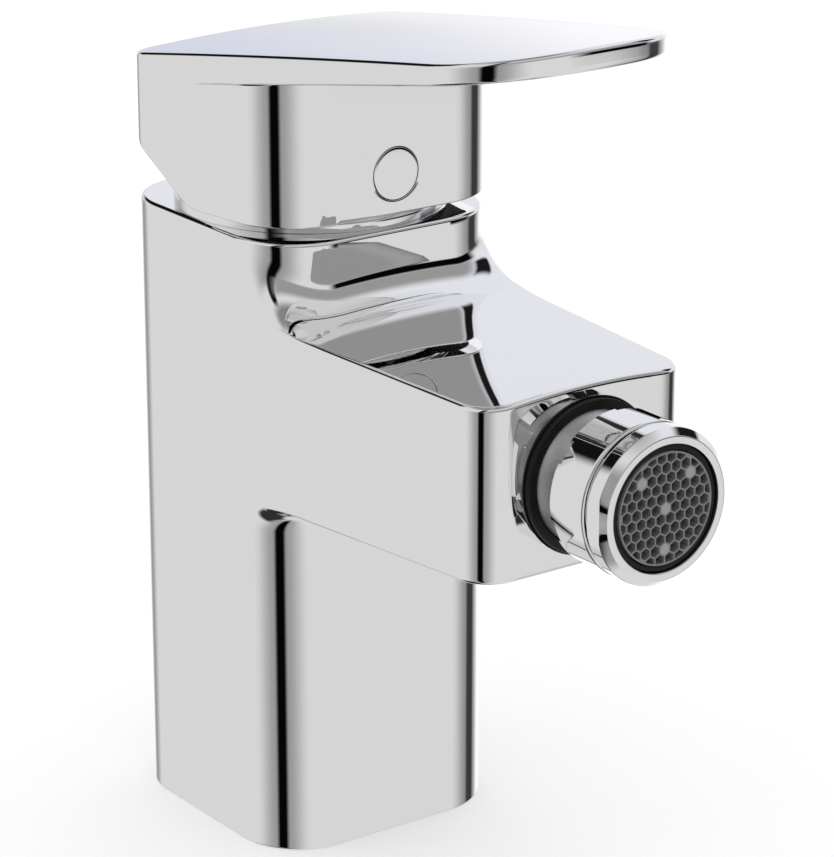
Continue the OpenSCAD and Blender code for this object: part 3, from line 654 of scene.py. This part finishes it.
    # soft upper edge all round, then the walls down to the underside, the block's front and the back
    line, out = joined(l_line, rear), joined(l_n, rear_n)
    inner = line - out * e
    skin.grid(closed(rounded_edge(inner, out, top(inner), np.full(len(inner), e), 1)))
    z_high = top(inner) - e
    n_low, n_high = 14, 6
    count = len(l_line)
    skin.grid(wall(l_line, z_under + soft, z_high[:count], n_high))
    sole = 0.35
    block_high = under(b_line)
    block_low = low(b_line[:, 1]) + sole
    cap_depth, cap_lip = 2, 0.1
    holed_wall(skin, b_line, block_low, block_high, n1 + n2, n_low, s.cap_r, s.cap_z, cap_depth, cap_lip)
    rear_high = np.concatenate([[z_high[count - 1]], z_high[count:], [z_high[0]]])
    rear_mid = edge_z(rear[:, 1]) - s.plate_root_t - s.plate_fillet
    skin.grid(wall(rear, low(rear[:, 1]) + sole, rear_mid, n_low), wall(rear, rear_mid, rear_high, n_high))
    # lower border, hollow and roof
    line, out = joined(b_line, rear), joined(b_n, rear_n)
    inset, lift = soft_edge(sole, 5).T[:, :, None]
    plan = line - out * inset[..., None]
    skin.grid(closed(lifted(plan, low(line[:, 1]) + lift)))
    inside = line - out * s.lever_wall
    skin.grid(closed(np.stack([lifted(plan[-1], low(line[:, 1])), lifted(inside, low(inside[:, 1]))])))
    skin.kind = 1
    roof = edge_z(inside[:, 1]) - s.lever_roof
    n_hollow = 10
    skin.grid(closed(wall(inside, low(inside[:, 1]), roof, n_hollow)))
    right = right_border(b_half, b_out, s.lever_wall)
    x = right[:, :1] * across
    plan = np.stack([x, np.broadcast_to(right[:, 1:], x.shape)], -1)
    skin.grid(lifted(plan, edge_z(plan[..., 1]) - s.lever_roof))
    lever_hub(skin, s)
    return skin


def lever_hub(skin, s):
    """Hub round the spindle and boss of the grub screw, both let into the roof or the wall."""
    spin = full_turn(48)
    hub_r, hub_bore, hub_low, hub_high, soft = 7.5, 5.8, 108.2, 126, 0.3
    hub = [(hub_r, hub_high), (hub_r, hub_low + soft), (hub_r - soft, hub_low), (hub_bore + soft, hub_low),
           (hub_bore, hub_low + soft), (hub_bore, hub_high), (hub_r, hub_high)]
    skin.grid(turned(hub, spin))
    boss_r, boss_rear, cover = 4.4, 7, 1.2
    boss_front = s.block_front - cover
    boss = [(0, boss_rear), (boss_r, boss_rear), (boss_r, boss_front), (0, boss_front)]
    skin.grid(turned(boss, spin, s.cap_z))


# Turned pieces

def cover_skin(s):
    """Cover ring: a dished ring with a raised rim and a round outer edge, turned about the column's axis."""
    z, r, h = s.column_h, s.cover_r, s.cover_h
    bore, under, dish, rim_foot, rim = 10.5, 0.2, 1.4, r - 5.8, r - 4.5
    spigot, spigot_in, spigot_end = 18.95, 17.4, -0.6
    points = [(bore, under), (bore, dish), (rim_foot, dish), (rim, h), (r, h), (r, 0), (spigot, 0),
              (spigot, spigot_end), (spigot_in, spigot_end), (spigot_in, under), (bore, under)]
    profile = rounded(points, [0.3, 0.8, 0.5, 0.9, 0.1, 0, 0, 0, 0], 6)
    return Skin().grid(turned(profile + [0, z], full_turn(160)))


def cap_skin(s):
    """Index cap: a low dome, height falling with the square of the radius, with a soft edge and a short
    stem."""
    clearance, soft, bulge, stem = 0.12, 0.1, 0.03, 1.9
    r, face = s.cap_r - clearance, s.block_front
    t = np.linspace(0, 1, 12)
    dome = np.stack([t * (r - soft), face + bulge * (1 - t * t)], -1)
    edge = [r, face] - soft_edge(soft, 5)[-2::-1]
    rest = [(r, face - stem), (0, face - stem)]
    return Skin().grid(turned(np.concatenate([dome, edge, rest]), full_turn(96), s.cap_z))


def ball_skin(s):
    """Ball with its neck: a sphere's arc between the flat back and the neck, with a bore through it."""
    r, m, bore, neck, back, end = s.ball_r, s.ball_s, 4.5, 8, 7.2, 12.5
    t = np.linspace(math.acos(-back / r), math.asin(neck / r), 40)
    sphere = np.stack([r * np.sin(t), m + r * np.cos(t)], -1)
    rest = [(neck, m + end), (bore, m + end), (bore, m - back)]
    return Skin().grid(turned(np.concatenate([rest[-1:], sphere, rest]), full_turn(128), s.nozzle_z))


def retainer_skin(s):
    """Retaining ring: a ring with soft front edges whose inside follows the ball at a clearance."""
    ball_gap, wall_gap, proud, depth = 0.1, 0.05, 0.9, 5.5
    lip_depth, lip, edge, edge_in, edge_back = 0.15, 0.12, 0.3, 0.08, 0.1
    r, m, out = s.ball_r + ball_gap, s.ball_s, s.socket_r - wall_gap
    front, rear = s.spout_reach + proud, s.spout_reach - depth
    u = np.linspace(rear - m, front - m - lip_depth, 20)
    inside = np.stack([np.sqrt(r * r - u * u), m + u], -1)
    rest = [(inside[-1, 0] + lip, front), (out - edge, front), (out - edge_in, front - edge_back),
            (out, front - edge), (out, rear), inside[0]]
    return Skin().grid(turned(np.concatenate([inside, rest]), full_turn(128), s.nozzle_z))


def sleeve_skin(s):
    """Sleeve: a turned profile with a rear chamfer; in six even sectors the rear edge is cut back as key
    notches, so each angle takes either the full profile or the notched one."""
    notches, first_notch, notch_half = 6, math.radians(22), 1.9
    r, sector, half = s.sleeve_r, 2 * math.pi / notches, math.asin(notch_half / s.sleeve_r)
    n_cut, n_land = 6, 20
    start = first_notch + sector * np.arange(notches)[:, None]
    cut = start + np.linspace(-half, half, n_cut + 1)
    land = start + np.linspace(half, sector - half, n_land + 1)
    angle = np.concatenate([cut, land], 1).ravel()
    is_cut = np.tile(np.arange(n_cut + n_land + 2) <= n_cut, notches)
    angle, is_cut = np.append(angle, angle[0]), np.append(is_cut, True)
    bore, floor, mouth, soft, notch_soft = 8.05, 9.6, 10.85, 0.5, 0.02
    rear, notch_end, side, shelf, front = 76.6, 78.6, 78.7, 81.5, 85.4
    edge = [r, front] - soft_edge(soft, 4)
    rest = [(r, side), *edge, (mouth, front), (mouth, shelf), (bore, shelf), (bore, rear)]
    inner = [(bore, rear), (floor, rear)]
    # the chamfer's corners, inwards from the outside and forwards from the rear
    chamfer = ((1.25, 0), (1.1, 0.06), (0.1, 1.2), (0, 1.4))
    full = inner + [(r - inwards, rear + forwards) for inwards, forwards in chamfer] + rest
    notched = inner + [(floor, notch_end)] + [(r - inwards, notch_end) for inwards, _ in chamfer[1:3]]
    notched += [(r, notch_end + notch_soft)] + rest
    profile = np.where(is_cut[None, :, None], np.array(notched)[:, None], np.array(full)[:, None])
    return Skin().grid(turned(profile, angle, s.nozzle_z))


def housing_skin(s):
    """Aerator housing: a turned profile with a front bevel; the radius is also kept within two key flats,
    radius = least of the profile's and flat / |cos angle|."""
    r, bore, thread, flat, bevel_in = s.sleeve_r, 9.75, 10.8, 11.55, 1.1
    rear, shoulder, bevel, front = 81.7, 86, 88.7, 89.9
    points = [(bore, rear), (thread, rear), (thread, shoulder), (r, shoulder), (r, bevel),
              (r - bevel_in, front), (bore, front), (bore, rear)]
    profile = rounded(points, [0, 0, 0.5, 0.3, 0.3, 0.15], 12)
    angle = full_turn(240)
    p = np.broadcast_to(profile[:, None], (len(profile), len(angle), 2)).copy()
    limit = flat / np.maximum(np.abs(np.cos(angle)), 1e-6)
    p[..., 0] = np.minimum(p[..., 0], limit)
    return Skin().grid(turned(p, angle, s.nozzle_z))


def cup_skin(s):
    """Aerator cup: a thin turned wall with a soft front lip."""
    out, inside, hole, rear, floor, front = 9.7, 8.65, 7.6, 82.35, 83.15, 89.4
    points = [(hole, rear), (out, rear), (out, front), (inside, front), (inside, floor), (hole, floor),
              (hole, rear)]
    return Skin().grid(turned(rounded(points, [0, 0.35, 0.3, 0, 0], 5), full_turn(128), s.nozzle_z))


def honeycomb_skin(s):
    """Honeycomb: a disc with hexagonal cells on a triangular lattice. About a cell's own middle its outline
    has the radius = least of apothem / cos(angle from the nearest side's middle) and the way to the rim's
    circle. Cells have a floor, and four are filled flush with the face."""
    rim, outer, pitch, web, front, depth, back = 8.35, 8.6, 1.8, 0.24, 89.7, 2.2, 86.9
    margin = 0.05
    rows = np.arange(-6, 7)
    i, j = np.meshgrid(rows, rows)
    middle = np.stack([(i + 0.5 * (j % 2)) * pitch, j * pitch * math.sqrt(0.75)], -1).reshape(-1, 2)
    filled = (((i == 0) & ((j == 0) | (j == -4))) | ((j == 3) & ((i == 2) | (i == -3)))).ravel()
    inside = np.hypot(*middle.T) < rim - margin
    middle, filled = middle[inside], filled[inside]
    n = 36
    t = full_turn(n)
    d = unit(t)
    b = middle @ d.T
    to_rim = np.sqrt(b * b + rim ** 2 - (middle ** 2).sum(1)[:, None]) - b
    hexagon = (pitch - web) / 2 / np.cos((t + math.pi / 6) % (math.pi / 3) - math.pi / 6)
    outline = middle[:, None] + np.minimum(hexagon, to_rim)[..., None] * d

    def raised(p, place_s=front):
        return np.stack([p[..., 0], np.full(p.shape[:-1], -place_s), s.nozzle_z + p[..., 1]], -1)

    def in_cell(p):
        v = p[:, None] - middle
        k = (np.arctan2(v[..., 1], v[..., 0]) % (2 * math.pi) / (2 * math.pi / n)).astype(int) % n
        c = np.arange(len(middle))
        a, e = outline[c, k], outline[c, k + 1]
        turn = (e - a)[..., 0] * (p[:, None] - a)[..., 1] - (e - a)[..., 1] * (p[:, None] - a)[..., 0]
        return (turn > 0).any(1)

    circle = outer * unit(full_turn(144))
    skin = Skin().flat(circle[:-1], [o[:-1] for o in outline], in_cell, raised)
    skin.grid(np.stack([raised(circle), raised(circle, back), raised(circle * 0, back)]))
    for o, m, full in zip(outline, middle, filled):
        floor = np.broadcast_to(m, o.shape)
        skin.kind = int(full)
        skin.grid(raised(np.stack([o, floor])) if full else
                  np.stack([raised(o), raised(o, front - depth), raised(floor, front - depth)]))
    return skin


# Finishes

def add_node(tree, kind, inputs=(), **settings):
    """A shader node with its settings; an input is a value, or another node's output that is linked to it."""
    node = tree.nodes.new("ShaderNode" + kind)
    for name, value in settings.items():
        setattr(node, name, value)
    for name, value in dict(inputs).items():
        if isinstance(value, bpy.types.NodeSocket):
            tree.links.new(value, node.inputs[name])
        else:
            node.inputs[name].default_value = value
    return node


def grain_group():
    """Fine surface grain: noise on Object coordinates gives a colour between two, a roughness between two
    and a height for a bump."""
    group = bpy.data.node_groups.new("Fine grain", "ShaderNodeTree")
    face = group.interface
    number, colour = "NodeSocketFloat", "NodeSocketColor"
    for name, kind, value in (("Scale", number, 800.0), ("Colour low", colour, (0, 0, 0, 1)),
                              ("Colour high", colour, (1, 1, 1, 1)), ("Rough low", number, 0.1),
                              ("Rough high", number, 0.2)):
        face.new_socket(name, in_out="INPUT", socket_type=kind).default_value = value
    for name, kind in (("Colour", colour), ("Roughness", number), ("Height", number)):
        face.new_socket(name, in_out="OUTPUT", socket_type=kind)
    given, result = group.nodes.new("NodeGroupInput").outputs, group.nodes.new("NodeGroupOutput").inputs
    where = add_node(group, "TexCoord").outputs["Object"]
    noise = {"Vector": where, "Scale": given["Scale"], "Detail": 4, "Roughness": 0.6}
    grain = add_node(group, "TexNoise", noise).outputs["Fac"]
    tone = add_node(group, "Mix", {"Factor": grain, "A": given["Colour low"], "B": given["Colour high"]},
                    data_type="RGBA")
    rough = add_node(group, "MapRange", {"Value": grain, "From Min": 0.3, "From Max": 0.7,
                                         "To Min": given["Rough low"], "To Max": given["Rough high"]})
    group.links.new(tone.outputs["Result"], result["Colour"])
    group.links.new(rough.outputs["Result"], result["Roughness"])
    group.links.new(grain, result["Height"])
    return group


CHROME, CASTING, BLACK, FLOOR = "Polished chrome", "Dull casting", "Black plastic", "Pale floor"
# Name of a finish: its colour, metallic, range of roughness, scale of the grain, spread of the colour,
# strength of the bump, specular level
FINISHES = {
    CHROME: ("chrome", 1, (0.015, 0.035), 140, 0.01, 0, 0.5),
    CASTING: ("casting", 1, (0.5, 0.65), 500, 0.15, 0.2, 0.5),
    BLACK: ("black", 0, (0.38, 0.5), 900, 0.2, 0, 0.3),
    FLOOR: ("floor", 0, (0.75, 0.9), 40, 0.01, 0, 0.5),
    # The ball: roughness of a satin finish, and a colour darker than the chrome's as painted shade of its
    # recess
    "Satin metal with painted shade": ("satin_and_shade", 1, (0.34, 0.44), 1500, 0.08, 0.15, 0.5),
    "Grey plastic": ("grey", 0, (0.35, 0.5), 1200, 0.12, 0.1, 0.5),
    "Filled cells": ("pale", 0, (0.35, 0.5), 1200, 0.12, 0.1, 0.5),
    "Seal rubber": ("rubber", 0, (0.55, 0.75), 700, 0.25, 0.3, 0.5),
    "Cartridge plastic": ("plastic", 0, (0.38, 0.52), 900, 0.05, 0.15, 0.5),
    "Disc ceramic": ("ceramic", 0, (0.12, 0.2), 1500, 0.04, 0, 0.5),
    "Bare brass": ("brass", 1, (0.22, 0.36), 600, 0.08, 0.1, 0.5),
    "Machined steel": ("steel", 1, (0.2, 0.32), 1100, 0.06, 0.1, 0.5),
}
RELIEF = 0.05 * MM


def finish(name):
    """Material of a finish: grain varies the colour by the spread and the roughness within its range, and may
    raise a bump."""
    old = bpy.data.materials.get(name)
    if old:
        return old
    key, metallic, rough, scale, spread, bump, specular = FINISHES[name]
    m = bpy.data.materials.new(name)
    m.use_nodes = True
    tree = m.node_tree
    shader = tree.nodes["Principled BSDF"]
    colour = np.array(getattr(bpy.context.scene.mixer_colours, key))
    grain = add_node(tree, "Group", node_tree=bpy.data.node_groups.get("Fine grain") or grain_group())
    for socket, value in (("Scale", scale), ("Colour low", (*np.clip(colour * (1 - spread), 0, 1), 1)),
                          ("Colour high", (*np.clip(colour * (1 + spread), 0, 1), 1)),
                          ("Rough low", rough[0]), ("Rough high", rough[1])):
        grain.inputs[socket].default_value = value
    tree.links.new(grain.outputs["Colour"], shader.inputs["Base Color"])
    tree.links.new(grain.outputs["Roughness"], shader.inputs["Roughness"])
    shader.inputs["Metallic"].default_value = metallic
    shader.inputs["Specular IOR Level"].default_value = specular
    if bump:
        height = grain.outputs["Height"]
        relief = add_node(tree, "Bump", {"Strength": bump, "Distance": RELIEF, "Height": height})
        tree.links.new(relief.outputs["Normal"], shader.inputs["Normal"])
    m.diffuse_color = (*colour, 1)
    return m


# Operators

class MIXER_OT_body(bpy.types.Operator):
    """Skin of the column, the spout and the hollow foot"""

    bl_idname = "mixer.body"
    bl_label = "Body"

    def execute(self, context):
        place(body_skin(sizes()), "body_skin", "column", (CHROME,),
              ("mixer_body", "hot_floor", "cold_floor", "stud_floor"))
        return {"FINISHED"}


class MIXER_OT_lever(bpy.types.Operator):
    """Skin of the lever and its index cap"""

    bl_idname = "mixer.lever"
    bl_label = "Lever"

    def execute(self, context):
        s = sizes()
        place(lever_skin(s), "lever_skin", "lever", (CHROME, CASTING), ("lever_handle",))
        place(cap_skin(s), "cap_skin", "lever", (CHROME,), ("index_cap",))
        return {"FINISHED"}


class MIXER_OT_cover(bpy.types.Operator):
    """Cover ring between the column and the lever"""

    bl_idname = "mixer.cover"
    bl_label = "Cover ring"

    def execute(self, context):
        place(cover_skin(sizes()), "cover_skin", "column", (CHROME,), ("cover_ring",))
        return {"FINISHED"}


class MIXER_OT_nozzle(bpy.types.Operator):
    """Turned pieces of the ball-jointed nozzle"""

    bl_idname = "mixer.nozzle"
    bl_label = "Nozzle"

    def execute(self, context):
        s = sizes()
        place(retainer_skin(s), "retainer_skin", "column", (BLACK,), ("ball_retainer",))
        # The ball's finish holds painted shade of its recess: darker than the chrome
        place(ball_skin(s), "ball_skin", "nozzle", ("Satin metal with painted shade",), ("swivel_ball",))
        place(sleeve_skin(s), "sleeve_skin", "nozzle", (CHROME,), ("nozzle_sleeve",), 25)
        place(housing_skin(s), "housing_skin", "nozzle", (CHROME,), ("aerator_housing",), 11)
        place(cup_skin(s), "cup_skin", "nozzle", (BLACK,), ("aerator_cup",))
        place(honeycomb_skin(s), "honeycomb_skin", "nozzle", ("Grey plastic", "Filled cells"),
              ("honeycomb_insert",))
        return {"FINISHED"}


class MIXER_OT_inner(bpy.types.Operator):
    """Finishes of the CAD pieces that stay as they are"""

    bl_idname = "mixer.inner"
    bl_label = "Inner pieces"

    def execute(self, context):
        pieces = {
            BLACK: ("flow_regulator",),
            "Bare brass": ("retaining_nut",),
            "Machined steel": ("strainer", "spindle", "spindle_pin", "grub_screw"),
            "Disc ceramic": ("fixed_disc", "moving_disc"),
            "Cartridge plastic": ("cartridge_base", "cartridge_casing", "rotor", "disc_carrier", "slip_ring"),
            "Seal rubber": ("deck_seal", "cartridge_seals", "seat_seal", "aerator_seal"),
        }
        for kind, names in pieces.items():
            for name in names:
                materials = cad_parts[name].data.materials
                materials.clear()
                materials.append(finish(kind))
        return {"FINISHED"}


class MIXER_OT_stage(bpy.types.Operator):
    """Pale floor, studio world and the camera"""

    bl_idname = "mixer.stage"
    bl_label = "Stage"

    def execute(self, context):
        floor_piece(context)
        studio(context)
        viewpoint(context)
        return {"FINISHED"}


def floor_piece(context):
    """Level pale floor: a square grid just below the deck's level. Its light is the world's, with a little of
    its own to the camera, so that the shadow stays."""
    half, sunk, glow = 1500, 0.05, 0.3
    t = np.linspace(-half, half, 9)
    x, y = np.meshgrid(t, t)
    grid = np.stack([x, y, np.full_like(x, -sunk)], -1)
    floor = bpy.data.objects.new("floor", Skin().grid(grid).mesh("floor"))
    context.scene.collection.objects.link(floor)
    m = finish(FLOOR)
    shader = m.node_tree.nodes["Principled BSDF"]
    path = add_node(m.node_tree, "LightPath")
    m.node_tree.links.new(path.outputs["Is Camera Ray"], shader.inputs["Emission Strength"])
    shader.inputs["Emission Color"].default_value = (glow, glow, glow, 1)
    floor.data.materials.append(m)
    floor.visible_glossy = False


# A panel of the studio as polished metal sees it: bearing of its middle, half width at full strength and
# where it ends; heights at which it starts, is full, is full still and ends, all in degrees; and its
# brightness, or its red, green and blue.
PANELS = (
    ((206, 10, 48), (-85, -65, 10, 30), 0.34),                # grey falling off to the first flag
    ((206, 5, 12), (-85, -65, 50, 70), 0.002),                # first flag, upright and black
    ((352, 10, 45), (-60, -40, -14, -4), 0.31),               # grey falling off to the second flag
    ((354, 6, 15), (-60, -40, -14, -4), 0.045),               # second flag, upright and dark
    ((87, 2, 24), (-60, -40, 10, 20), 0.34),                  # grey edge beside the window
    ((47, 16, 40), (-60, -40, -14, 2), 1.06),                 # window at the back
    ((20, 40, 75), (-8, 4, 60, 75), (0.83, 0.84, 0.90)),      # bluish wall above the window
    ((40, 11, 16), (-8, -4, 4, 9), (1.0, 1.0, 1.04)),         # bright end of the wall, for the lever's tip
    ((76, 16, 22), (-8, -4, 8, 12), (0.69, 0.71, 0.82)),      # dull end of the wall, for the lever's back
    ((275, 50, 75), (3, 10, 30, 50), 0.33),                   # grey wall at the front
    ((318, 17, 32), (-14, -11, 3, 9), 0.0015),                # low flag at the right
    ((354, 10, 17), (11, 17, 34, 44), 0.01),                  # small flag at the right
    ((94, 25, 33), (13, 21, 45, 55), 0.006),                  # high flag at the back left
    ((180, 180, 181), (50, 75, 90, 91), 0.25),                # dim ceiling
    ((110, 55, 80), (-82, -76, -56, -46), 0.03),              # dark ground, for the plate's lower edge
)
# Brightness of the room behind the panels, and of the even light on mat pieces
ROOM, EVEN_LIGHT = 0.74, 0.9


def studio(context):
    """Studio world: white to the camera, an even pale light for mat pieces, and for polished pieces a pale
    room with the panels over it, each eased in by the direction's bearing and height."""
    world = bpy.data.worlds.new("Studio")
    context.scene.world = world
    world.use_nodes = True
    tree = world.node_tree
    tree.nodes.clear()

    def maths(kind, *values):
        return add_node(tree, "Math", enumerate(values), operation=kind).outputs[0]

    def eased(value, start, end):
        """0 at the start and 1 at the end, whichever of them is the greater."""
        inputs = {"Value": value, "From Min": min(start, end), "From Max": max(start, end),
                  "To Min": float(start > end), "To Max": float(start < end)}
        return add_node(tree, "MapRange", inputs, interpolation_type="SMOOTHSTEP").outputs["Result"]

    def light(colour):
        return add_node(tree, "Background", {"Color": colour}).outputs[0]

    towards = add_node(tree, "TexCoord").outputs["Generated"]
    x, y, z = add_node(tree, "SeparateXYZ", {0: towards}).outputs
    bearing = maths("DEGREES", maths("ARCTAN2", y, x))
    height = maths("DEGREES", maths("ARCSINE", z))
    room = add_node(tree, "RGB").outputs[0]
    room.default_value = (ROOM, ROOM, ROOM, 1)
    for (middle, full, none), (low, low_full, high_full, high), colour in PANELS:
        away = maths("ABSOLUTE", maths("WRAP", maths("SUBTRACT", bearing, middle), 180, -180))
        part = maths("MULTIPLY", eased(height, low, low_full), eased(height, high, high_full))
        part = maths("MULTIPLY", eased(away, none, full), part)
        mix = {"Factor": part, "A": room, "B": (*np.broadcast_to(colour, 3), 1)}
        room = add_node(tree, "Mix", mix, data_type="RGBA").outputs["Result"]
    path = add_node(tree, "LightPath").outputs
    shiny = maths("MAXIMUM", path["Is Glossy Ray"], path["Is Transmission Ray"])
    even = light((EVEN_LIGHT, EVEN_LIGHT, EVEN_LIGHT, 1))
    seen = add_node(tree, "MixShader", {"Fac": shiny, 1: even, 2: light(room)}).outputs[0]
    white = light((1, 1, 1, 1))
    seen = add_node(tree, "MixShader", {"Fac": path["Is Camera Ray"], 1: seen, 2: white}).outputs[0]
    add_node(tree, "OutputWorld", {"Surface": seen})


# Camera: its place in metres, the direction it looks in, and its lens and sensor in millimetres
VIEW_FROM, VIEW_ALONG = (-0.3227, -0.4716, 0.2594), (0.557, 0.764, -0.3255)
LENS, SENSOR = 159.5, 36


def viewpoint(context):
    """Camera where the photograph was taken from: from the left front, 19 degrees above the level."""
    data = bpy.data.cameras.new("View")
    data.sensor_fit, data.sensor_width, data.lens = "HORIZONTAL", SENSOR, LENS
    data.clip_end = 20
    camera = bpy.data.objects.new("View", data)
    context.scene.collection.objects.link(camera)
    camera.location = VIEW_FROM
    camera.rotation_euler = Vector(VIEW_ALONG).to_track_quat("-Z", "Y").to_euler()
    context.scene.camera = camera
    context.scene.view_settings.view_transform = "Standard"


class MIXER_PT_panel(bpy.types.Panel):
    """Lists the pieces"""

    bl_label = "Mixer"
    bl_idname = "MIXER_PT_panel"
    bl_space_type = "VIEW_3D"
    bl_region_type = "UI"
    bl_category = "Mixer"

    def draw(self, context):
        for operator in OPERATORS:
            self.layout.operator(operator.bl_idname)


OPERATORS = (MIXER_OT_body, MIXER_OT_lever, MIXER_OT_cover, MIXER_OT_nozzle, MIXER_OT_inner, MIXER_OT_stage)
CLASSES = (MixerSizes, MixerColours) + OPERATORS + (MIXER_PT_panel,)


def register():
    for cls in CLASSES:
        bpy.utils.register_class(cls)
    bpy.types.Scene.mixer_sizes = bpy.props.PointerProperty(type=MixerSizes)
    bpy.types.Scene.mixer_colours = bpy.props.PointerProperty(type=MixerColours)


def unregister():
    del bpy.types.Scene.mixer_sizes, bpy.types.Scene.mixer_colours
    for cls in reversed(CLASSES):
        bpy.utils.unregister_class(cls)


def main():
    register()
    bpy.ops.mixer.body()
    bpy.ops.mixer.lever()
    bpy.ops.mixer.cover()
    bpy.ops.mixer.nozzle()
    bpy.ops.mixer.inner()
    bpy.ops.mixer.stage()


if __name__ == "__main__":
    main()
